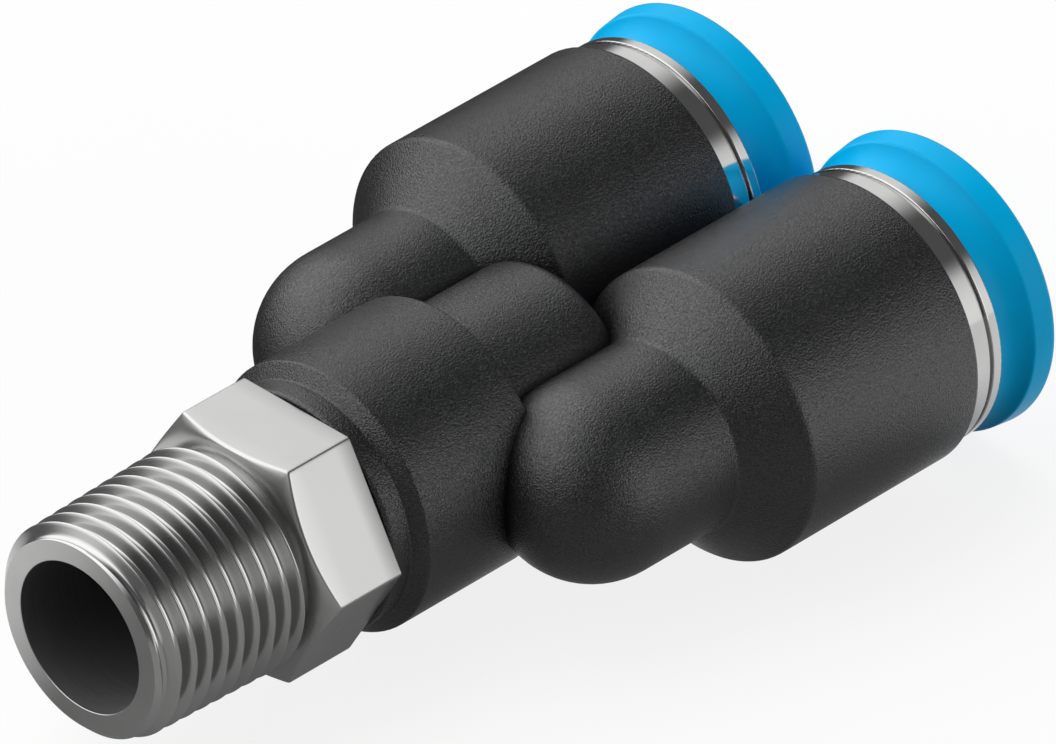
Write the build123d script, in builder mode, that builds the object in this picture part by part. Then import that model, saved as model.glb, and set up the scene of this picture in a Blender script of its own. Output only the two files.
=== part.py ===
"""Push-in Y fitting: a swivelling taper-threaded stem feeds two sockets for plastic tube.

Millimetres. X runs along the stem axis towards the tube sockets, Y runs from the right
socket to the left one and Z is up. The origin is on the stem axis, in the plane of the
hexagon's front face, where the thread ends.
"""
import os
from math import atan, ceil, degrees, radians, tan
from build123d import *

os.makedirs("parts", exist_ok=True)

# Thread, to the half-inch taper pipe standard
thread_gauge_radius = 20.955 / 2     # crest radius in the gauge plane
gauge_length = 8.2                   # front face to gauge plane
thread_taper = 1 / 32                # radius gained for each millimetre of length
thread_length = 17.7                 # front face to hexagon
thread_pitch = 25.4 / 14
thread_depth = 0.6403 * thread_pitch
thread_flat = thread_pitch / 6       # width of the flats on crests and roots
flank_angle = 27.5                   # degrees, from a flank to the plane square to the axis
thread_overcut = 0.1                 # the thread's cutter stands this far above the crests
groove_lead = 1.28                   # the groove starts this far in front of the front face
face_radius = 9.15                   # outer edge of the flat front face
relief_width = 0.6                   # plain neck between thread and hexagon
relief_radius = 9.3
relief_slope = 0.6                   # length of the cone from thread to neck

# Hexagon of the stem
hex_across_flats = 22.2
hex_length = 8.4
hex_face_radius = 10.9               # flat part of the hexagon's front face
hex_chamfer = 1.05                   # depth of the cone at the corners

# Flow passages
stem_bore_radius = 7.2
chamber_radius = 7.2
channel_radius = 6.2
window_radius = 5.0                  # half height of the slot that joins chamber and channels
window_length = 2.5                  # distance between the slot's two end centres
window_setback = 0.3                 # slot's end to the chamber's floor

# Stem spigot inside the housing
spigot_wall = 2.9
spigot_length = 15.6                 # behind the hexagon
spigot_lead = 0.8                    # chamfer at the spigot's end
swivel_clearance = 0.08              # radial, spigot in socket
swivel_gap = 0.15                    # axial, at the hexagon and at the socket's floor
o_ring_width = 2.1
o_ring_depth = 1.5                   # groove depth in the spigot
o_ring_clearance = 0.03              # squeezed ring to groove sides and socket wall
o_ring_round = 0.6
o_ring_setback = 6.6                 # hexagon to groove
clip_width = 1.2
clip_setback = 4.3                   # spigot's end to clip
clip_depth = 1.1                     # how far the clip reaches into the spigot
clip_reach = 0.8                     # how far the clip reaches into the housing
clip_clearance = 0.12
clip_split = 3.0                     # width of the opening in the clip

# Housing round the stem
barrel_wall = 2.65
barrel_length = 14.1
collar_step = 1.35                   # the front collar is this much smaller than the barrel
collar_length = 2.25
front_round = 0.4                    # edge behind the hexagon
cone_length = 1.0
cone_round = 0.3
barrel_round = 0.25
socket_lead = 0.5
lobe_wall = 3.2
lobe_end_wall = 2.2
lobe_round = 1.6

# Housing legs
neck_wall = 3.0
elbow_setback = 4.2                  # barrel end to the centre of the leg's round end
neck_length = 8.75
flare_length = 4.55                  # cone from neck to socket barrel
flare_round = 0.7
mouth_round = 0.45
socket_wall = 1.6
fit_gap = 0.02                       # radial, pieces pressed into the housing

# Tube socket, from the tube's stop outwards
tube_diameter = 16.0
tube_clearance = 0.1
stop_setback = 4.1                   # end of the flare to the tube's stop
tube_seat_length = 4.5
seal_length = 3.2
seal_bite = 0.25                     # how far the seal's lip stands inside the tube's radius
seal_step = 0.65                     # the seal's bore is this much smaller than the collar's
seal_lip_edge = 0.5                  # thickness of the lip at its open end
seal_lip_length = 1.1                # straight part of the lip
seal_rim_edge = 1.0                  # thickness of the outer rim at its open end
seal_groove_depth = 1.6
seal_groove_floor = 1.0
claw_seat_length = 2.8
claw_thickness = 0.4
claw_bite = 0.1                      # how far the teeth stand inside the tube's radius
claw_rim = 1.0                       # flat clamped rim
claw_lean = 1.8                      # how much deeper the tips are than the rim
claw_count = 12
claw_slot = 1.0
claw_flex = 0.35                     # room behind the teeth

# Collar
collar_shank_length = 5.8            # pressed into the housing
collar_band_length = 3.5             # the part that shows
collar_shank_wall = 1.0
collar_mouth_wall = 0.95
collar_mouth_depth = 1.5
collar_lip_length = 3.0
collar_groove_setback = 1.1          # end of the collar to the groove
collar_groove_width = 0.35
collar_groove_depth = 0.3
collar_edge = 0.15

# Release ring
release_travel = 1.2
sleeve_wall = 1.5
sleeve_clearance = 0.15
bead_height = 0.35
bead_length = 1.2
bead_gap = 0.3
nose_chamfer = 0.9
ring_neck_radius_gain = 2.6          # the neck is this much larger than the sleeve
ring_shoulder_gap = 0.1
flare_lead = 0.3
crest_setback = 3.55                 # collar end to the flange's crest
rim_radius = 14.2
crest_drop = 0.3                     # the crest is this much smaller than the rim
ring_end_setback = 6.1               # collar end to the ring's end face
rim_round = 0.55
crest_round = 0.35
mouth_lead = 1.1                     # entry cone for the tube
ring_gap = 0.1                       # between the corners of the two rims, before they are rounded

# Radii that follow
spigot_radius = stem_bore_radius + spigot_wall
stem_socket_radius = spigot_radius + swivel_clearance
barrel_radius = stem_socket_radius + barrel_wall
front_collar_radius = barrel_radius - collar_step
lobe_radius = chamber_radius + lobe_wall
neck_radius = channel_radius + neck_wall
tube_radius = tube_diameter / 2
tube_bore_radius = tube_radius + tube_clearance
sleeve_radius = tube_bore_radius + sleeve_wall
bead_radius = sleeve_radius + bead_height
lip_radius = sleeve_radius + sleeve_clearance
ring_neck_radius = sleeve_radius + ring_neck_radius_gain
collar_mouth_radius = ring_neck_radius + sleeve_clearance
collar_band_radius = collar_mouth_radius + collar_mouth_wall
claw_cavity_radius = bead_radius + sleeve_clearance + bead_height
shank_radius = collar_mouth_radius
seal_radius = shank_radius - seal_step
socket_radius = shank_radius + socket_wall
port_offset = rim_radius + ring_gap / 2
crest_radius = rim_radius - crest_drop
clip_outer_radius = stem_socket_radius + clip_reach
clip_inner_radius = spigot_radius - clip_depth
claw_root_radius = shank_radius - claw_rim
claw_tip_radius = tube_radius - claw_bite
hex_corner_radius = hex_across_flats / 3**0.5

# Stations along X that follow
x_face = -thread_length
x_hex_back = hex_length
x_front = x_hex_back + swivel_gap
x_collar_end = x_front + collar_length
x_barrel = x_collar_end + cone_length
x_barrel_end = x_barrel + barrel_length
x_spigot_end = x_hex_back + spigot_length
x_socket_floor = x_spigot_end + swivel_gap
x_o_ring = x_hex_back + o_ring_setback
x_clip = x_spigot_end - clip_setback
x_elbow = x_barrel_end + elbow_setback
x_neck_end = x_elbow + neck_length
x_flare_end = x_neck_end + flare_length
x_window_end = x_elbow + window_length
x_chamber_end = x_window_end + window_radius + window_setback
x_lobe_end = x_chamber_end + lobe_end_wall
x_stop = x_flare_end + stop_setback
x_seal = x_stop + tube_seat_length
x_claw_seat = x_seal + seal_length
x_claw = x_claw_seat + claw_seat_length
x_shank_end = x_claw + claw_thickness
x_mouth = x_shank_end + collar_shank_length
x_band_end = x_mouth + collar_band_length
x_lip_out = x_band_end - collar_mouth_depth
x_lip_in = x_lip_out - collar_lip_length


sides = {"left": 1, "right": -1}


def port_plane(side):
    """Sketch plane through a socket's axis: local X along it, local Y is the radius."""
    return Plane(origin=(0, side * port_offset, 0), x_dir=(1, 0, 0), z_dir=(0, 0, 1))


def port_axis(side):
    return Axis((0, side * port_offset, 0), (1, 0, 0))


def across_plane(x, side=0):
    """Plane square to the X axis at station x, centred on the stem or on a socket."""
    return Plane(origin=(x, side * port_offset, 0), x_dir=(0, 1, 0), z_dir=(1, 0, 0))


def round_corner(sketch, x, radius, size):
    """Rounds the corner of a half section that lies at station x and the given radius."""
    corner = sketch.vertices().sort_by_distance((x, radius, 0))[0]
    fillet(corner, size)


def make_housing():
    """Moulded body: stem barrel, centre lobe and two legs with their hollows."""
    with BuildPart() as housing:
        with BuildSketch(Plane.XY) as centre:
            with BuildLine():
                Polyline(
                    (x_front, 0),
                    (x_front, front_collar_radius),
                    (x_collar_end, front_collar_radius),
                    (x_barrel, barrel_radius),
                    (x_barrel_end, barrel_radius),
                    (x_barrel_end, lobe_radius),
                    (x_lobe_end, lobe_radius),
                    (x_lobe_end, 0),
                    close=True,
                )
            make_face()
            round_corner(centre, x_lobe_end, lobe_radius, lobe_round)
            round_corner(centre, x_front, front_collar_radius, front_round)
            round_corner(centre, x_collar_end, front_collar_radius, cone_round)
            round_corner(centre, x_barrel, barrel_radius, cone_round)
            round_corner(centre, x_barrel_end, barrel_radius, barrel_round)
        revolve(axis=Axis.X)
        for side in sides.values():
            with BuildSketch(port_plane(side)) as leg:
                with BuildLine():
                    CenterArc((x_elbow, 0), neck_radius, 90, 90)
                    Polyline(
                        (x_elbow, neck_radius),
                        (x_neck_end, neck_radius),
                        (x_flare_end, socket_radius),
                        (x_mouth, socket_radius),
                        (x_mouth, 0),
                        (x_elbow - neck_radius, 0),
                    )
                make_face()
                round_corner(leg, x_neck_end, neck_radius, flare_round)
                round_corner(leg, x_flare_end, socket_radius, flare_round)
                round_corner(leg, x_mouth, socket_radius, mouth_round)
            revolve(axis=port_axis(side))
        with BuildSketch(Plane.XY):
            with BuildLine():
                Polyline(
                    (x_front, 0),
                    (x_front, stem_socket_radius + socket_lead),
                    (x_front + socket_lead, stem_socket_radius),
                    (x_clip - clip_clearance, stem_socket_radius),
                    (x_clip - clip_clearance, clip_outer_radius + clip_clearance),
                    (x_clip + clip_width + clip_clearance, clip_outer_radius + clip_clearance),
                    (x_clip + clip_width + clip_clearance, stem_socket_radius),
                    (x_socket_floor, stem_socket_radius),
                    (x_socket_floor, chamber_radius),
                    (x_chamber_end, chamber_radius),
                    (x_chamber_end, 0),
                    close=True,
                )
            make_face()
        revolve(axis=Axis.X, mode=Mode.SUBTRACT)
        with BuildSketch(Plane.XZ):
            with Locations(((x_elbow + x_window_end) / 2, 0)):
                SlotCenterToCenter(window_length, 2 * window_radius)
        extrude(amount=port_offset, both=True, mode=Mode.SUBTRACT)
        for side in sides.values():
            with BuildSketch(port_plane(side)):
                with BuildLine():
                    CenterArc((x_elbow, 0), channel_radius, 90, 90)
                    Polyline(
                        (x_elbow, channel_radius),
                        (x_stop, channel_radius),
                        (x_stop, tube_bore_radius),
                        (x_seal, tube_bore_radius),
                        (x_seal, seal_radius),
                        (x_claw_seat, seal_radius),
                        (x_claw_seat, shank_radius),
                        (x_mouth, shank_radius),
                        (x_mouth, 0),
                        (x_elbow - channel_radius, 0),
                    )
                make_face()
            revolve(axis=port_axis(side), mode=Mode.SUBTRACT)
    return housing


def make_stem():
    """Turned stem: taper thread, hexagon and the spigot that the housing turns on.

    The thread's groove is a right-hand helix on the root cone, cut turn by turn before the
    hexagon is added, so that it can run out over the neck.
    """
    thread_small_radius = thread_gauge_radius - gauge_length * thread_taper
    x_thread_end = -relief_width - relief_slope
    thread_large_radius = thread_small_radius + (x_thread_end - x_face) * thread_taper
    face_chamfer = thread_small_radius - face_radius
    x_groove = x_face - groove_lead
    root_radius = thread_small_radius - groove_lead * thread_taper - thread_depth
    cutter_height = thread_depth + thread_overcut
    cutter_half_width = thread_flat / 2 + cutter_height * tan(radians(flank_angle))
    turns = ceil((groove_lead + thread_length + cutter_half_width) / thread_pitch)
    groove_radius = spigot_radius - o_ring_depth
    clip_groove_radius = clip_inner_radius - clip_clearance
    bar_radius = hex_corner_radius + hex_chamfer
    cone_slope = (hex_corner_radius - hex_face_radius) / hex_chamfer
    with BuildPart() as stem:
        with BuildSketch(Plane.XY):
            with BuildLine():
                Polyline(
                    (x_face, 0),
                    (x_face, face_radius),
                    (x_face + face_chamfer, thread_small_radius + face_chamfer * thread_taper),
                    (x_thread_end, thread_large_radius),
                    (-relief_width, relief_radius),
                    (0, relief_radius),
                    (0, 0),
                    close=True,
                )
            make_face()
        revolve(axis=Axis.X)
        for turn in range(turns):
            x_turn = x_groove + turn * thread_pitch
            turn_radius = root_radius + turn * thread_pitch * thread_taper
            with BuildLine():
                Helix(
                    thread_pitch,
                    thread_pitch,
                    turn_radius,
                    center=(x_turn, 0, 0),
                    direction=(1, 0, 0),
                    cone_angle=degrees(atan(thread_taper)),
                )
            with BuildSketch(Plane(origin=(x_turn, 0, turn_radius), x_dir=(1, 0, 0), z_dir=(0, -1, 0))):
                with BuildLine():
                    Polyline(
                        (-thread_flat / 2, 0),
                        (-cutter_half_width, cutter_height),
                        (cutter_half_width, cutter_height),
                        (thread_flat / 2, 0),
                        close=True,
                    )
                make_face()
            sweep(is_frenet=True, mode=Mode.SUBTRACT)
        with BuildSketch(Plane.YZ):
            RegularPolygon(hex_across_flats / 2, 6, major_radius=False)
        extrude(amount=hex_length)
        with BuildSketch(Plane.XY):
            with BuildLine():
                Polyline(
                    (0, hex_face_radius),
                    (0, bar_radius),
                    ((bar_radius - hex_face_radius) / cone_slope, bar_radius),
                    close=True,
                )
            make_face()
        revolve(axis=Axis.X, mode=Mode.SUBTRACT)
        with BuildSketch(Plane.XY):
            with BuildLine():
                Polyline(
                    (0, 0),
                    (0, relief_radius),
                    (hex_length, spigot_radius),
                    (x_o_ring, spigot_radius),
                    (x_o_ring, groove_radius),
                    (x_o_ring + o_ring_width, groove_radius),
                    (x_o_ring + o_ring_width, spigot_radius),
                    (x_clip - clip_clearance, spigot_radius),
                    (x_clip - clip_clearance, clip_groove_radius),
                    (x_clip + clip_width + clip_clearance, clip_groove_radius),
                    (x_clip + clip_width + clip_clearance, spigot_radius),
                    (x_spigot_end - spigot_lead, spigot_radius),
                    (x_spigot_end, spigot_radius - spigot_lead),
                    (x_spigot_end, 0),
                    close=True,
                )
            make_face()
        revolve(axis=Axis.X)
        with BuildSketch(across_plane(x_face)):
            Circle(stem_bore_radius)
        extrude(amount=x_spigot_end - x_face, mode=Mode.SUBTRACT)
    return stem


def make_o_ring():
    """Seal between spigot and housing, drawn squeezed."""
    inner = spigot_radius - o_ring_depth + o_ring_clearance
    outer = stem_socket_radius - o_ring_clearance
    with BuildPart() as ring:
        with BuildSketch(Plane.XY) as section:
            with Locations((x_o_ring + o_ring_width / 2, (inner + outer) / 2)):
                Rectangle(o_ring_width - 2 * o_ring_clearance, outer - inner)
            fillet(section.vertices(), o_ring_round)
        revolve(axis=Axis.X)
    return ring


def make_clip():
    """Split ring that holds the spigot in the housing and lets it turn."""
    with BuildPart() as clip:
        with BuildSketch(across_plane(x_clip)):
            Circle(clip_outer_radius)
            Circle(clip_inner_radius, mode=Mode.SUBTRACT)
            with Locations((0, clip_outer_radius)):
                Rectangle(clip_split, 2 * clip_outer_radius - clip_inner_radius, mode=Mode.SUBTRACT)
        extrude(amount=clip_width)
    return clip


def make_collar(side):
    """Plated collar: two bright bands outside, a lip and the claws' cone inside."""
    x_groove = x_band_end - collar_groove_setback
    with BuildPart() as collar:
        with BuildSketch(port_plane(side)) as section:
            with BuildLine():
                Polyline(
                    (x_shank_end, shank_radius - fit_gap),
                    (x_mouth, shank_radius - fit_gap),
                    (x_mouth, collar_band_radius),
                    (x_groove - collar_groove_width, collar_band_radius),
                    (x_groove - collar_groove_width, collar_band_radius - collar_groove_depth),
                    (x_groove, collar_band_radius - collar_groove_depth),
                    (x_groove, collar_band_radius),
                    (x_band_end, collar_band_radius),
                    (x_band_end, collar_mouth_radius),
                    (x_lip_out, collar_mouth_radius),
                    (x_lip_out, lip_radius),
                    (x_lip_in, lip_radius),
                    (x_lip_in, claw_cavity_radius),
                    (x_shank_end, shank_radius - collar_shank_wall),
                    close=True,
                )
            make_face()
            for x in (x_mouth, x_groove - collar_groove_width, x_groove, x_band_end):
                round_corner(section, x, collar_band_radius, collar_edge)
        revolve(axis=port_axis(side))
    return collar


def tooth_station(radius):
    """Station of the claws' outer face at a radius: they lean inwards from the rim."""
    return x_shank_end - claw_lean * (claw_root_radius - radius) / (claw_root_radius - claw_tip_radius)


def make_claw_ring(side):
    """Spring-steel ring: a flat rim and inclined teeth that bite into the tube."""
    slot_depth = claw_root_radius - claw_tip_radius
    slot_middle = (claw_root_radius + claw_tip_radius) / 2
    with BuildPart() as claws:
        with BuildSketch(port_plane(side)):
            with BuildLine():
                Polyline(
                    (x_shank_end, shank_radius - fit_gap),
                    (x_claw, shank_radius - fit_gap),
                    (x_claw, claw_root_radius),
                    (tooth_station(claw_tip_radius) - claw_thickness, claw_tip_radius),
                    (tooth_station(claw_tip_radius), claw_tip_radius),
                    (x_shank_end, claw_root_radius),
                    close=True,
                )
            make_face()
        revolve(axis=port_axis(side))
        with BuildSketch(across_plane(x_claw - claw_lean, side)):
            with PolarLocations(slot_middle - claw_slot, claw_count):
                Rectangle(slot_depth, claw_slot)
        extrude(amount=claw_lean + 2 * claw_thickness, mode=Mode.SUBTRACT)
    return claws


def make_claw_seat(side):
    """Ring behind the claws: clamps their rim and keeps them off the seal."""
    lean = claw_lean / (claw_root_radius - claw_tip_radius)
    with BuildPart() as seat:
        with BuildSketch(port_plane(side)):
            with BuildLine():
                Polyline(
                    (x_claw_seat, tube_bore_radius + claw_flex),
                    (x_claw_seat, shank_radius - fit_gap),
                    (x_claw, shank_radius - fit_gap),
                    (x_claw, claw_root_radius + claw_flex),
                    (x_claw - lean * (claw_root_radius - tube_bore_radius), tube_bore_radius + claw_flex),
                    close=True,
                )
            make_face()
        revolve(axis=port_axis(side))
    return seat


def make_seal(side):
    """Rubber lip seal: the lip opens towards the pressure."""
    heel_radius = tube_bore_radius + claw_flex
    lip_inner = tube_radius - seal_bite
    outer = seal_radius - fit_gap
    groove_middle = (outer + lip_inner) / 2
    x_groove = x_seal + seal_groove_depth
    with BuildPart() as seal:
        with BuildSketch(port_plane(side)) as section:
            with BuildLine():
                Polyline(
                    (x_seal, outer),
                    (x_claw_seat, outer),
                    (x_claw_seat, heel_radius),
                    (x_seal + seal_lip_length, lip_inner),
                    (x_seal, lip_inner),
                    (x_seal, lip_inner + seal_lip_edge),
                    (x_groove, groove_middle - seal_groove_floor / 2),
                    (x_groove, groove_middle + seal_groove_floor / 2),
                    (x_seal, outer - seal_rim_edge),
                    close=True,
                )
            make_face()
        revolve(axis=port_axis(side))
    return seal


def make_release_ring(side):
    """Push ring: a sleeve that reaches the claws and a flared flange for the fingers."""
    x_shoulder = x_lip_out + release_travel + ring_shoulder_gap
    x_flare = x_band_end + release_travel - flare_lead
    x_crest = x_band_end + crest_setback
    x_end = x_band_end + ring_end_setback
    x_nose = tooth_station(sleeve_radius - nose_chamfer) + release_travel + ring_shoulder_gap
    x_bead = x_lip_in - bead_gap - bead_length
    rise = crest_radius - ring_neck_radius
    run = x_crest - x_flare
    flare_radius = (run**2 + rise**2) / (2 * rise)
    with BuildPart() as ring:
        with BuildSketch(port_plane(side)) as section:
            with BuildLine():
                Polyline(
                    (x_flare, ring_neck_radius),
                    (x_shoulder, ring_neck_radius),
                    (x_shoulder, sleeve_radius),
                    (x_bead + bead_length, sleeve_radius),
                    (x_bead + bead_length, bead_radius),
                    (x_bead + bead_height, bead_radius),
                    (x_bead, sleeve_radius),
                    (x_nose + nose_chamfer, sleeve_radius),
                    (x_nose, sleeve_radius - nose_chamfer),
                    (x_nose, tube_bore_radius),
                    (x_end - mouth_lead, tube_bore_radius),
                    (x_end, tube_bore_radius + mouth_lead),
                    (x_end, rim_radius),
                    (x_crest, crest_radius),
                )
                TangentArc((x_flare, ring_neck_radius), (x_crest, crest_radius), tangent=(1, 0))
            make_face()
            round_corner(section, x_end, rim_radius, rim_round)
            round_corner(section, x_crest, crest_radius, crest_round)
        revolve(axis=port_axis(side))
    return ring


def keep(piece, name):
    """Labels a finished piece and writes it as the node of that name."""
    piece.part.label = name
    export_step(piece.part, f"parts/{name}.step")


keep(make_housing(), "housing")
keep(make_stem(), "threaded_stem")
keep(make_o_ring(), "stem_o_ring")
keep(make_clip(), "stem_clip")
for name, side in sides.items():
    keep(make_collar(side), f"{name}_collar")
    keep(make_claw_ring(side), f"{name}_claw_ring")
    keep(make_claw_seat(side), f"{name}_claw_seat")
    keep(make_seal(side), f"{name}_tube_seal")
    keep(make_release_ring(side), f"{name}_release_ring")
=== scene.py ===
"""Looks of the push-in Y fitting: the stem with its cut thread, the materials, light and camera.

Metres, in the frame of the CAD model: X runs from the thread to the tube sockets, Z is up.
Sizes of the stem are written in millimetres and scaled once, where its mesh is made.
"""
import math
import bpy
import numpy as np
from mathutils import Matrix, Vector


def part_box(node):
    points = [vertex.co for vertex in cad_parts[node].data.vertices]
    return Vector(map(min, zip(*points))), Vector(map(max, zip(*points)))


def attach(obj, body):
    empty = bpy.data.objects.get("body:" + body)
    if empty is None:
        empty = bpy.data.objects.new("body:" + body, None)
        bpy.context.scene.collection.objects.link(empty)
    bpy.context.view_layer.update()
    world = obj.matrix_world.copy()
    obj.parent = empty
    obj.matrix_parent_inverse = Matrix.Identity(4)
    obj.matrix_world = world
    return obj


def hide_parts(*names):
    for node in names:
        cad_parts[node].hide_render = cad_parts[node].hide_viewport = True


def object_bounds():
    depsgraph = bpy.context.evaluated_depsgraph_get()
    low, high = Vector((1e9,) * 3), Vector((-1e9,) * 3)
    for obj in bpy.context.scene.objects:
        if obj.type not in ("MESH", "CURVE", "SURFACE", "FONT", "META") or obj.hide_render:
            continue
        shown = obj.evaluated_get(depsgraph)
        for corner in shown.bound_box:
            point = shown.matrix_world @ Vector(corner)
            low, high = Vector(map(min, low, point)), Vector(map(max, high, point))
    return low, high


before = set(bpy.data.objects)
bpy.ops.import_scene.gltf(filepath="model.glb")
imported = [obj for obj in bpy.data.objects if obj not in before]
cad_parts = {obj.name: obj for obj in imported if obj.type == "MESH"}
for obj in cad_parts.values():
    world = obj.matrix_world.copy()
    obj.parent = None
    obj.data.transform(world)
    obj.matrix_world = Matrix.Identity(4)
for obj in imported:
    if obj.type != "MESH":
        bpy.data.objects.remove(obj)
cad_low, cad_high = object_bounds()
MM = 0.001

# Camera, at the photograph's angle
VIEW_AZIMUTH = math.radians(-45.768)
VIEW_ELEVATION = math.radians(34.668)
VIEW_ROLL = math.radians(0.433)
VIEW_TARGET = Vector((0.03760, 0.00080, 0.00007))
VIEW_DISTANCE = 1.4852
VIEW_LENS = 581.7

# Share of plain white in the floor, for each kind of ray that sees it. Glossy rays see it scaled
# by the grey painted on the paper at that place for reflections: painted shade and painted light.
FLOOR_WHITE = {"Is Camera Ray": 0.84, "Is Glossy Ray": 0.84, "Is Transmission Ray": 0.84}

# Painted shade and light on the paper, seen in reflections: far behind the part, before it, and close
# behind it
PAINTED_DIM_GREY, PAINTED_FRONT_GREY, PAINTED_PALE_GREY = 0.035, 0.22, 0.88
FLOOR_HALF_SIZE = 15.0

# Brightness of the studio, where 1 looks white: its walls, the large panel above and behind
# the part, and the low soft box at its right
STUDIO_DIM = 0.12
PANEL_LEVEL = 1.75
SIDE_LEVEL = 1.75
SIDE_FROM, SIDE_TO, SIDE_SOFT = math.radians(-94), math.radians(-48), 0.7
TOP_AZIMUTH, TOP_ELEVATION = math.radians(90), math.radians(80)
TOP_DISTANCE, TOP_SIDE, TOP_RADIANCE = 0.9, 0.9, 0.6

# Stem, in millimetres
X_FACE = cad_low.x / MM
BORE_RADIUS = 7.2
FACE_RADIUS = 9.15
PITCH = 1.814
THREAD_DEPTH = 1.162
CREST_ROUND = 0.12                   # radius of the crests
ROOT_ROUND = 0.378                   # radius of the roots
FLANK_ANGLE = math.radians(27.5)
GAUGE_RADIUS = 20.955 / 2
GAUGE_LENGTH = 8.2
TAPER = 1 / 32                       # radius gained for each millimetre of length
CREST_STATION = -8.54                # a crest's station on the side that faces -Y
X_THREAD_END = -1.2
CHAMFER_SOFT = 0.04                  # rounding between the front chamfer and the thread
CHAMFER_LENGTH = 1.1
RUN_OUT_SLOPE = 2.2                  # radius lost for each millimetre towards the neck
RUN_OUT_SOFT = 0.06
RUN_OUT_LENGTH = 0.5
X_NECK = -0.6
NECK_RADIUS = 9.3
HEX_APOTHEM = 11.1
HEX_LENGTH = 8.4
HEX_FACE_RADIUS = 10.9
HEX_CHAMFER = 1.05
HEX_CORNER_ROUND = 0.08
HEX_FRONT_ROUND = 0.22               # between the chamfer's cone and the flats
HEX_BACK_ROUND = 0.1
HEX_STATIONS = (2.5, 4.5, 6.5)
BORE_EDGE = 0.04
BORE_STATIONS = (14.0, 4.0, -6.0)
SPIGOT_RADIUS = 10.1
SPIGOT_LEAD = 0.8                    # chamfer at the spigot's end
O_RING_GROOVE = (15.0, 17.1, 8.6)    # from X, to X, radius of its floor
CLIP_GROOVE = (19.58, 21.02, 8.88)
X_SPIGOT_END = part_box("threaded_stem")[1].x / MM
SECTOR_COLUMNS = 36                  # mesh columns on each side of the hexagon
MERGE_STEPS = 2e4                    # points on the same step of 1 / 20000 mm are one point
NOWHERE = 1e3                        # a radius larger than any of the stem's

# The stem's materials, in the order of its slots, and the part of each pitch that the darker
# one for the grooves covers as painted shade: the flank that faces +X and the root beside it
PLATE, TURNED, BORE_SHADE, FLATS, GROOVE_SHADE = range(5)
GROOVE_SHADE_FROM, GROOVE_SHADE_TO = 3, 10


def node_material(name):
    """An empty procedural material: (material, its node tree, its principled shader)."""
    material = bpy.data.materials.new(name)
    material.use_nodes = True
    tree = material.node_tree
    return material, tree, tree.nodes["Principled BSDF"]


def maths(tree, operation, *values):
    """A math node's output. Each value is a number or another node's output."""
    node = tree.nodes.new("ShaderNodeMath")
    node.operation = operation
    for socket, value in zip(node.inputs, values):
        if isinstance(value, (int, float)):
            socket.default_value = value
        else:
            tree.links.new(value, socket)
    return node.outputs[0]


def noise(tree, scale, detail=2.0, rough=0.5, distortion=0.0, stretch=(1, 1, 1)):
    """Noise in object space, in features for each metre, stretched along an axis if asked."""
    place = tree.nodes.new("ShaderNodeTexCoord")
    mapping = tree.nodes.new("ShaderNodeMapping")
    mapping.inputs["Scale"].default_value = stretch
    texture = tree.nodes.new("ShaderNodeTexNoise")
    texture.inputs["Scale"].default_value = scale
    texture.inputs["Detail"].default_value = detail
    texture.inputs["Roughness"].default_value = rough
    texture.inputs["Distortion"].default_value = distortion
    tree.links.new(place.outputs["Object"], mapping.inputs["Vector"])
    tree.links.new(mapping.outputs["Vector"], texture.inputs["Vector"])
    return texture.outputs["Fac"]


def spread(tree, value, low, high, from_low=0.3, from_high=0.7):
    """Maps a value, by default a noise's, to a range and holds it there."""
    node = tree.nodes.new("ShaderNodeMapRange")
    node.inputs["From Min"].default_value = from_low
    node.inputs["From Max"].default_value = from_high
    node.inputs["To Min"].default_value = low
    node.inputs["To Max"].default_value = high
    tree.links.new(value, node.inputs["Value"])
    return node.outputs["Result"]


def tint(tree, value, dark, light):
    """A colour between two, by a noise value."""
    ramp = tree.nodes.new("ShaderNodeValToRGB")
    ramp.color_ramp.elements[0].position = 0.3
    ramp.color_ramp.elements[0].color = (*dark, 1)
    ramp.color_ramp.elements[1].position = 0.7
    ramp.color_ramp.elements[1].color = (*light, 1)
    tree.links.new(value, ramp.inputs["Fac"])
    return ramp.outputs["Color"]


def bump(tree, shader, height, distance, strength=1.0):
    """Bump of a real height, in metres."""
    node = tree.nodes.new("ShaderNodeBump")
    node.inputs["Distance"].default_value = distance
    node.inputs["Strength"].default_value = strength
    tree.links.new(height, node.inputs["Height"])
    tree.links.new(node.outputs["Normal"], shader.inputs["Normal"])


def make_housing_plastic():
    """Black glass-filled plastic with a fine spark-eroded, leathery skin. Its gloss is dimmed in creases
    and gaps by an occlusion mask: painted shade.
    """
    material, tree, shader = node_material("housing_plastic")
    broad = noise(tree, 260, detail=2)
    grain = noise(tree, 6000, detail=1.5, rough=0.6, distortion=0.3)
    patches = noise(tree, 5000, detail=2, rough=0.7)
    # Painted shade: the gloss fades where the housing's own surfaces close in, in creases and gaps
    crease_painted_shade = tree.nodes.new("ShaderNodeAmbientOcclusion")
    crease_painted_shade.samples = 8
    crease_painted_shade.only_local = True
    crease_painted_shade.inputs["Distance"].default_value = 0.002
    gloss_share_outside_painted_shade = spread(tree, crease_painted_shade.outputs["AO"], 0.1, 1, 0.4, 0.85)
    patchy_gloss_with_painted_shade = maths(tree, "MULTIPLY", spread(tree, patches, 0.54, 1.08), gloss_share_outside_painted_shade)
    tree.links.new(patchy_gloss_with_painted_shade, shader.inputs["Specular IOR Level"])
    colour = tint(tree, broad, (0.005, 0.005, 0.0055), (0.007, 0.007, 0.0075))
    tree.links.new(colour, shader.inputs["Base Color"])
    tree.links.new(spread(tree, grain, 0.22, 0.26), shader.inputs["Roughness"])
    bump(tree, shader, grain, 0.00009)
    return material


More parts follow.
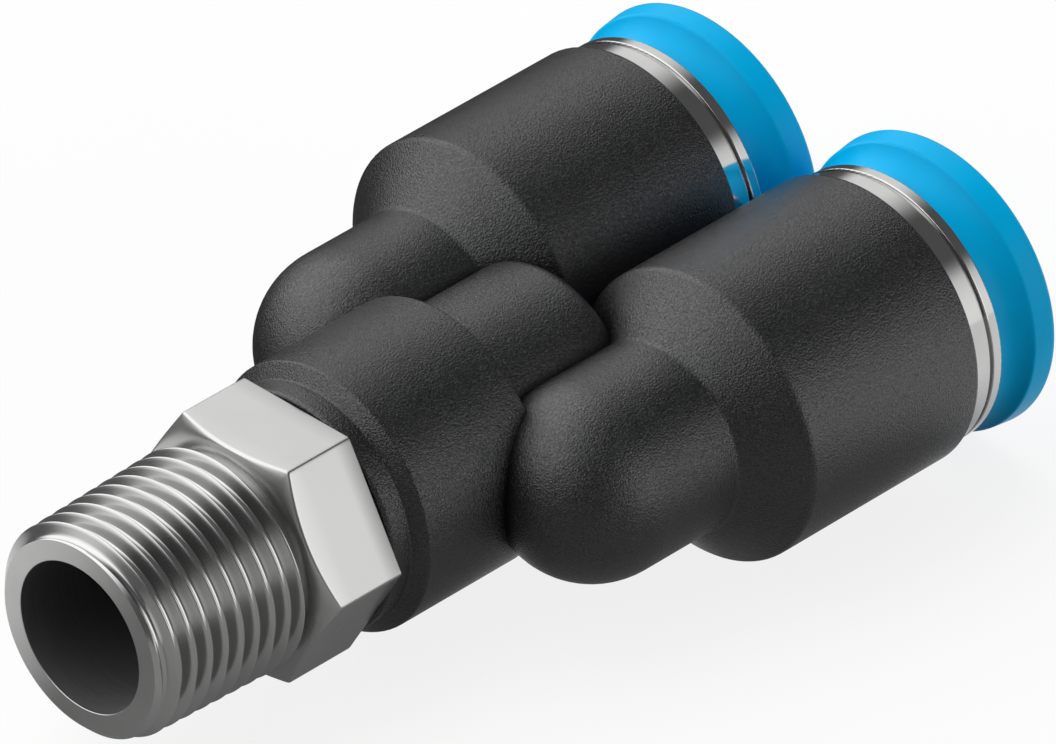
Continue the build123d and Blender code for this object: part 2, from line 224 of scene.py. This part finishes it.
def make_plated_metal(name, shine, grey=0.51):
    """Nickel plate on turned brass: faint turning marks round the axis. Shine is its roughness."""
    material, tree, shader = node_material(name)
    shader.inputs["Metallic"].default_value = 1.0
    marks = noise(tree, 1, detail=2, stretch=(2500, 40, 40))
    cloud = noise(tree, 300, detail=2)
    dark, light = grey - 0.02, grey + 0.02
    colour = tint(tree, cloud, (dark, dark, dark - 0.005), (light, light, light - 0.005))
    tree.links.new(colour, shader.inputs["Base Color"])
    tree.links.new(spread(tree, marks, shine - 0.006, shine + 0.008), shader.inputs["Roughness"])
    return material


def make_flat_metal():
    """Nickel plate on the hexagon's milled flats: even, with a faint cloud."""
    material, tree, shader = node_material("nickel_flats")
    shader.inputs["Metallic"].default_value = 1.0
    cloud = noise(tree, 160, detail=2)
    tree.links.new(tint(tree, cloud, (0.50, 0.50, 0.495), (0.53, 0.53, 0.525)), shader.inputs["Base Color"])
    tree.links.new(spread(tree, cloud, 0.27, 0.30), shader.inputs["Roughness"])
    return material


def make_bore_shade_metal():
    """The stem's bore: dull, its dark grey painted shade of the hollow."""
    material, tree, shader = node_material("bore_painted_shade")
    shader.inputs["Metallic"].default_value = 0.3
    marks = noise(tree, 1, detail=3, rough=0.6, stretch=(4000, 200, 200))
    # Painted shade: the bore's dark grey stands in for the shade inside the hole
    tree.links.new(tint(tree, marks, (0.11, 0.11, 0.11), (0.14, 0.14, 0.14)), shader.inputs["Base Color"])
    tree.links.new(spread(tree, marks, 0.55, 0.65), shader.inputs["Roughness"])
    return material


def make_release_plastic():
    """Blue acetal, smooth moulded."""
    material, tree, shader = node_material("release_plastic")
    cloud = noise(tree, 400, detail=3)
    fine = noise(tree, 5000, detail=2)
    shader.inputs["Specular IOR Level"].default_value = 0.08
    tree.links.new(tint(tree, cloud, (0.0, 0.42, 0.79), (0.0, 0.44, 0.82)), shader.inputs["Base Color"])
    tree.links.new(spread(tree, fine, 0.30, 0.36), shader.inputs["Roughness"])
    bump(tree, shader, fine, 0.000004)
    return material


def make_plain(name, dark, light, roughness, metallic=0.0, grain=2500):
    """Materials of the inner pieces: a mottled colour with a fine grain."""
    material, tree, shader = node_material(name)
    shader.inputs["Metallic"].default_value = metallic
    fine = noise(tree, grain, detail=3)
    tree.links.new(tint(tree, fine, dark, light), shader.inputs["Base Color"])
    tree.links.new(spread(tree, fine, roughness - 0.05, roughness + 0.05), shader.inputs["Roughness"])
    bump(tree, shader, fine, 0.00001, 0.5)
    return material


def clothe(node, material):
    """Gives a CAD node its material."""
    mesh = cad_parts[node].data
    mesh.materials.clear()
    mesh.materials.append(material)


def column_angles():
    """Angles round the axis from +Y towards +Z, gathered at the hexagon's corners."""
    steps = np.arange(SECTOR_COLUMNS) / SECTOR_COLUMNS * 2 - 1
    sector = math.pi / 6 * (1 + np.sin(steps * math.pi / 2))
    return np.concatenate([sector + side * math.pi / 3 for side in range(6)])


def soft_min(a, b, width):
    """The smaller of two radii, rounded where they cross."""
    return -width * np.logaddexp(-a / width, -b / width)


def thread_profile():
    """One pitch of the thread's section: (distance from a crest, depth below it)."""
    turns = np.linspace(0, math.pi / 2 - FLANK_ANGLE, 5)
    crest = [(CREST_ROUND * math.sin(t), CREST_ROUND * (1 - math.cos(t))) for t in turns]
    root = [(PITCH / 2 - ROOT_ROUND * math.sin(t), THREAD_DEPTH - ROOT_ROUND * (1 - math.cos(t)))
            for t in reversed(turns)]
    flank = [tuple(np.array(crest[-1]) * (1 - k) + np.array(root[0]) * k) for k in (0.25, 0.5, 0.75)]
    half = crest + flank + root
    mirrored = [(PITCH - x, depth) for x, depth in reversed(half)][1:-1]
    return half + mirrored


class Shell:
    """A mesh that is built from rings of points round the X axis, with a material for each band."""

    def __init__(self, angles):
        self.angles = angles
        self.points = []
        self.faces = []
        self.kinds = []

    def ring(self, x, radius):
        """Adds a ring: x and radius are numbers, or arrays with a value for each column."""
        count = len(self.angles)
        x, radius = np.broadcast_to(x, count), np.broadcast_to(radius, count)
        start = len(self.points)
        self.points += list(zip(x, radius * np.cos(self.angles), radius * np.sin(self.angles)))
        return [start + k for k in range(count)]

    def band(self, first, second, kind, shift=None):
        """Joins two rings with quads that face outwards when X grows from first to second."""
        count = len(first)
        for k in range(count):
            after = (k + 1) % count
            wrap_first, wrap_second = (first, second) if after or shift is None else shift
            self.faces.append((first[k], second[k], wrap_second[after], wrap_first[after]))
            self.kinds.append(kind)

    def chain(self, rings, kind):
        """Joins a row of rings with bands of one material."""
        for first, second in zip(rings, rings[1:]):
            self.band(first, second, kind)

    def finish(self, name, materials, sharp=math.radians(40)):
        """Merges points that coincide, drops faces with no area and returns the object."""
        mesh = bpy.data.meshes.new(name)
        keys, index = {}, []
        kept = []
        for point in self.points:
            key = tuple(round(c * MERGE_STEPS) for c in point)
            if key not in keys:
                keys[key] = len(kept)
                kept.append(tuple(c * MM for c in point))
            index.append(keys[key])
        faces, kinds = [], []
        for face, kind in zip(self.faces, self.kinds):
            corners = list(dict.fromkeys(index[k] for k in face))
            if len(corners) > 2:
                faces.append(corners)
                kinds.append(kind)
        mesh.from_pydata(kept, [], faces)
        for material in materials:
            mesh.materials.append(material)
        mesh.polygons.foreach_set("material_index", kinds)
        mesh.validate()
        mesh.shade_smooth()
        mesh.set_sharp_from_angle(angle=sharp)
        piece = bpy.data.objects.new(name, mesh)
        bpy.context.scene.collection.objects.link(piece)
        return piece


def hexagon_radius(angles):
    """Radius of the hexagon in each column, its corners slightly rounded."""
    radius = np.full(len(angles), NOWHERE)
    for side in range(6):
        across = np.cos(angles - math.pi / 6 - side * math.pi / 3)
        flat = np.where(across > 0.5, HEX_APOTHEM / np.maximum(across, 0.5), NOWHERE)
        radius = soft_min(radius, flat, HEX_CORNER_ROUND)
    return radius


def thread_rings(shell):
    """The helical thread with its chamfer and run-out: its rings, each band's material, and the
    number of rings in a pitch."""
    angles = shell.angles
    profile = thread_profile()
    lead = PITCH * angles / (2 * math.pi)
    start = CREST_STATION - PITCH / 2
    first_turn = math.floor((X_FACE - start) / PITCH) - 2
    last_turn = math.ceil((X_THREAD_END - start) / PITCH) + 1
    rings, kinds = [], []
    for turn in range(first_turn, last_turn + 1):
        for place, (distance, depth) in enumerate(profile):
            x = start + turn * PITCH + distance + lead
            clear = x.min() > X_FACE + CHAMFER_LENGTH and x.max() < X_NECK - RUN_OUT_LENGTH
            # Painted shade: the +X flank and root of each clear pitch take the darker groove material
            kinds.append(GROOVE_SHADE if clear and GROOVE_SHADE_FROM <= place <= GROOVE_SHADE_TO else TURNED)
            crest = GAUGE_RADIUS + (x - X_FACE - GAUGE_LENGTH) * TAPER
            chamfer = FACE_RADIUS + (x - X_FACE)
            run_out = NECK_RADIUS + (X_NECK - x) * RUN_OUT_SLOPE
            radius = soft_min(soft_min(crest - depth, chamfer, CHAMFER_SOFT), run_out, RUN_OUT_SOFT)
            radius = np.where(x <= X_FACE, FACE_RADIUS, np.where(x >= X_NECK, NECK_RADIUS, radius))
            rings.append(shell.ring(np.clip(x, X_FACE, X_NECK), radius))
    return rings, kinds, len(profile)


def hexagon_rings(shell):
    """The hexagon from its front face, over the turned chamfer, to its back face."""
    radius = hexagon_radius(shell.angles)
    corner = HEX_APOTHEM / math.cos(math.pi / 6)
    x_edge = HEX_CHAMFER * (radius - HEX_FACE_RADIUS) / (corner - HEX_FACE_RADIUS)
    cone = np.array([HEX_CHAMFER, corner - HEX_FACE_RADIUS])
    cone /= np.linalg.norm(cone)
    soft, edge = HEX_FRONT_ROUND, HEX_BACK_ROUND
    rings = [shell.ring(0, HEX_FACE_RADIUS)]
    for t in (0, 0.2, 0.4, 0.6, 0.8, 1):
        before, middle, after = (1 - t) ** 2, 2 * t * (1 - t), t**2
        x = before * (x_edge - soft * cone[0]) + middle * x_edge + after * (x_edge + soft)
        r = before * (radius - soft * cone[1]) + middle * radius + after * radius
        rings.append(shell.ring(x, r))
    for x in (*HEX_STATIONS, HEX_LENGTH - edge):
        rings.append(shell.ring(x, radius))
    for turn in (30, 60, 90):
        t = math.radians(turn)
        x = HEX_LENGTH - edge * (1 - math.sin(t))
        rings.append(shell.ring(x, radius - edge * (1 - math.cos(t))))
    return rings


def make_stem(materials):
    """The whole stem: front ring, thread, neck, hexagon, spigot with its grooves, and bore."""
    shell = Shell(column_angles())
    rings, kinds, turn = thread_rings(shell)
    for k in range(len(rings) - 1):
        wrap = (rings[k + turn], rings[k + turn + 1]) if k + turn + 1 < len(rings) else None
        shell.band(rings[k], rings[k + 1], kinds[k], wrap)
    face = [shell.ring(X_FACE, BORE_RADIUS + BORE_EDGE), shell.ring(X_FACE, FACE_RADIUS)]
    shell.chain(face, PLATE)
    neck = [shell.ring(X_NECK, NECK_RADIUS), shell.ring(0, NECK_RADIUS)]
    shell.chain(neck, PLATE)
    hexagon = hexagon_rings(shell)
    shell.chain([neck[-1], *hexagon], FLATS)
    spigot = [(HEX_LENGTH, SPIGOT_RADIUS)]
    for x_from, x_to, radius in (O_RING_GROOVE, CLIP_GROOVE):
        spigot += [(x_from, SPIGOT_RADIUS), (x_from, radius), (x_to, radius), (x_to, SPIGOT_RADIUS)]
    spigot += [
        (X_SPIGOT_END - SPIGOT_LEAD, SPIGOT_RADIUS),
        (X_SPIGOT_END, SPIGOT_RADIUS - SPIGOT_LEAD),
        (X_SPIGOT_END, BORE_RADIUS),
    ]
    shell.chain([hexagon[-1]] + [shell.ring(x, r) for x, r in spigot], PLATE)
    inside = [shell.ring(x, BORE_RADIUS) for x in (X_SPIGOT_END, *BORE_STATIONS, X_FACE + BORE_EDGE)]
    shell.chain(inside, BORE_SHADE)
    lip = [shell.ring(X_FACE + BORE_EDGE, BORE_RADIUS), shell.ring(X_FACE, BORE_RADIUS + BORE_EDGE)]
    shell.chain(lip, PLATE)
    stem = shell.finish("stem_with_thread", materials)
    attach(stem, "stem")
    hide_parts("threaded_stem")


def painted_reflection_grey(tree):
    """The paper's grey in reflections, painted by place as shade and light: a painted pale patch close
    behind the stem and under the tube sockets' right end, painted shade behind the left leg, darker far
    behind the part than before it."""
    place = tree.nodes.new("ShaderNodeTexCoord")
    parts = tree.nodes.new("ShaderNodeSeparateXYZ")
    tree.links.new(place.outputs["Object"], parts.inputs["Vector"])
    x, y = parts.outputs["X"], parts.outputs["Y"]
    lift = PAINTED_PALE_GREY - PAINTED_DIM_GREY

    # Painted light: pale patches close behind the stem and under the right end; painted shade elsewhere,
    # darker far behind
    behind = spread(tree, maths(tree, "MULTIPLY_ADD", x, 0.4, y), 0, 1, 0.000, 0.014)
    close = spread(tree, y, lift, 0, 0.04, 0.09)
    past_stem = spread(tree, x, 0, 1, -0.008, 0.006)
    past_leg = spread(tree, y, 0, 1, 0.018, 0.030)
    leg = maths(tree, "MULTIPLY", past_stem, past_leg)
    pale = maths(tree, "MULTIPLY", maths(tree, "MULTIPLY", behind, close), spread(tree, leg, 1, 0, 0, 1))

    under_end = spread(tree, x, 0, lift, 0.068, 0.082)
    on_right = spread(tree, y, 1, 0, -0.01, 0.015)
    end = maths(tree, "MULTIPLY", under_end, on_right)
    ground = spread(tree, y, PAINTED_FRONT_GREY, PAINTED_DIM_GREY, -0.02, 0.03)
    return maths(tree, "ADD", maths(tree, "MAXIMUM", pale, end), ground)


def make_floor():
    """A white floor under the part's lowest point, with a light shadow, as the camera sees it. Other rays
    see the grey painted by place: painted shade and painted light.
    """
    material, tree, shader = node_material("floor_paper_with_painted_reflections")
    ray = tree.nodes.new("ShaderNodeLightPath")
    grey = painted_reflection_grey(tree)
    camera_white_or_painted_grey = tree.nodes.new("ShaderNodeMix")
    camera_white_or_painted_grey.data_type = "RGBA"
    own_colour = tint(tree, noise(tree, 2, detail=1), (0.93, 0.93, 0.93), (0.94, 0.94, 0.94))
    tree.links.new(ray.outputs["Is Camera Ray"], camera_white_or_painted_grey.inputs[0])
    tree.links.new(grey, camera_white_or_painted_grey.inputs[6])
    tree.links.new(own_colour, camera_white_or_painted_grey.inputs[7])
    tree.links.new(camera_white_or_painted_grey.outputs[2], shader.inputs["Base Color"])
    shader.inputs["Roughness"].default_value = 0.9
    shader.inputs["Specular IOR Level"].default_value = 0.1
    # Glossy rays take a share of white scaled by the painted grey: a painted reflection
    share = 0
    for kind, part in FLOOR_WHITE.items():
        if kind == "Is Glossy Ray":
            part = maths(tree, "MULTIPLY", grey, part)
        share = maths(tree, "MULTIPLY_ADD", ray.outputs[kind], part, share)
    white = tree.nodes.new("ShaderNodeEmission")
    mix = tree.nodes.new("ShaderNodeMixShader")
    tree.links.new(share, mix.inputs["Fac"])
    tree.links.new(shader.outputs["BSDF"], mix.inputs[1])
    tree.links.new(white.outputs["Emission"], mix.inputs[2])
    tree.links.new(mix.outputs["Shader"], tree.nodes["Material Output"].inputs["Surface"])
    half, z = FLOOR_HALF_SIZE, cad_low.z
    corners = [(-half, -half, z), (half, -half, z), (half, half, z), (-half, half, z)]
    mesh = bpy.data.meshes.new("floor")
    mesh.from_pydata(corners, [], [(0, 1, 2, 3)])
    mesh.materials.append(material)
    floor = bpy.data.objects.new("floor", mesh)
    bpy.context.scene.collection.objects.link(floor)


def make_world():
    """A dim studio with a large panel above and behind the part and a low soft box right of it."""
    world = bpy.data.worlds.new("studio")
    bpy.context.scene.world = world
    world.use_nodes = True
    tree = world.node_tree
    place = tree.nodes.new("ShaderNodeTexCoord")
    parts = tree.nodes.new("ShaderNodeSeparateXYZ")
    tree.links.new(place.outputs["Generated"], parts.inputs["Vector"])

    def step(value, edge, soft):
        """0 below the edge and 1 above it, softly."""
        node = tree.nodes.new("ShaderNodeMapRange")
        node.interpolation_type = "SMOOTHSTEP"
        node.inputs["From Min"].default_value = edge - soft / 2
        node.inputs["From Max"].default_value = edge + soft / 2
        tree.links.new(value, node.inputs["Value"])
        return node.outputs["Result"]

    along, across, height = parts.outputs["X"], parts.outputs["Y"], parts.outputs["Z"]
    behind = step(maths(tree, "MULTIPLY_ADD", along, -0.25, across), 0.10, 0.5)
    fade = maths(tree, "MULTIPLY_ADD", step(along, 0.45, 0.5), -0.45, 1.0)
    slant = maths(tree, "MULTIPLY_ADD", along, -0.1, height)
    above = step(maths(tree, "MULTIPLY_ADD", across, 0.35, slant), 0.41, 0.24)
    panel = maths(tree, "MULTIPLY", maths(tree, "MULTIPLY", behind, above), fade)
    around = maths(tree, "ARCTAN2", across, along)
    beside = maths(tree, "SUBTRACT", step(around, SIDE_FROM, SIDE_SOFT), step(around, SIDE_TO, SIDE_SOFT))
    low = maths(tree, "SUBTRACT", 1.0, step(height, 0.55, 0.2))
    low_box = maths(tree, "MULTIPLY", beside, low)
    light = maths(tree, "MULTIPLY_ADD", panel, PANEL_LEVEL, STUDIO_DIM)
    light = maths(tree, "MULTIPLY_ADD", low_box, SIDE_LEVEL, light)
    tree.links.new(light, tree.nodes["Background"].inputs["Strength"])
    tree.nodes["Background"].inputs["Color"].default_value = (1, 1, 1, 1)


def make_top_box():
    """A soft box above the part that faces it. A radiance of 1 looks white."""
    lamp = bpy.data.lights.new("top_box", "AREA")
    lamp.shape = "RECTANGLE"
    lamp.size = lamp.size_y = TOP_SIDE
    lamp.energy = TOP_RADIANCE * math.pi * TOP_SIDE * TOP_SIDE
    piece = bpy.data.objects.new("top_box", lamp)
    a, e = TOP_AZIMUTH, TOP_ELEVATION
    towards = Vector((math.cos(a) * math.cos(e), math.sin(a) * math.cos(e), math.sin(e)))
    piece.location = (cad_low + cad_high) / 2 + towards * TOP_DISTANCE
    piece.rotation_mode = "QUATERNION"
    piece.rotation_quaternion = (-towards).to_track_quat("-Z", "Y")
    piece.visible_glossy = False
    bpy.context.scene.collection.objects.link(piece)


def make_camera():
    """Camera at the photograph's angle, far away with a long lens."""
    camera = bpy.data.cameras.new("camera")
    camera.sensor_fit = "HORIZONTAL"
    camera.sensor_width = 36.0
    camera.lens = VIEW_LENS
    camera.clip_start, camera.clip_end = 0.1, 50.0
    piece = bpy.data.objects.new("camera", camera)
    a, e = VIEW_AZIMUTH, VIEW_ELEVATION
    back = Vector((math.sin(a) * math.cos(e), -math.cos(a) * math.cos(e), math.sin(e)))
    level = Vector((math.cos(a), math.sin(a), 0))
    upright = back.cross(level)
    right = level * math.cos(VIEW_ROLL) + upright * math.sin(VIEW_ROLL)
    up = back.cross(right)
    turn = Matrix((right, up, back)).transposed()
    piece.matrix_world = Matrix.Translation(VIEW_TARGET + back * VIEW_DISTANCE) @ turn.to_4x4()
    bpy.context.scene.collection.objects.link(piece)
    bpy.context.scene.camera = piece


plate = make_plated_metal("nickel_plate", 0.28)
turned = make_plated_metal("nickel_thread", 0.19)
polished = make_plated_metal("nickel_polished", 0.10)
# A darker grey of the same nickel for the grooves: painted shade
groove_shade = make_plated_metal("nickel_groove_painted_shade", 0.24, 0.3)
make_stem([plate, turned, make_bore_shade_metal(), make_flat_metal(), groove_shade])
clothe("housing", make_housing_plastic())
rubber = make_plain("black_rubber", (0.012, 0.012, 0.012), (0.02, 0.02, 0.02), 0.55)
steel = make_plain("spring_steel", (0.5, 0.5, 0.51), (0.6, 0.6, 0.61), 0.3, metallic=1.0)
natural = make_plain("inner_plastic", (0.66, 0.66, 0.62), (0.74, 0.74, 0.70), 0.45)
release = make_release_plastic()
clothe("stem_o_ring", rubber)
clothe("stem_clip", steel)
for side in ("left", "right"):
    clothe(f"{side}_collar", polished)
    clothe(f"{side}_claw_ring", steel)
    clothe(f"{side}_claw_seat", natural)
    clothe(f"{side}_tube_seal", rubber)
    clothe(f"{side}_release_ring", release)

make_floor()
make_world()
make_top_box()
make_camera()
bpy.context.scene.view_settings.view_transform = "Standard"
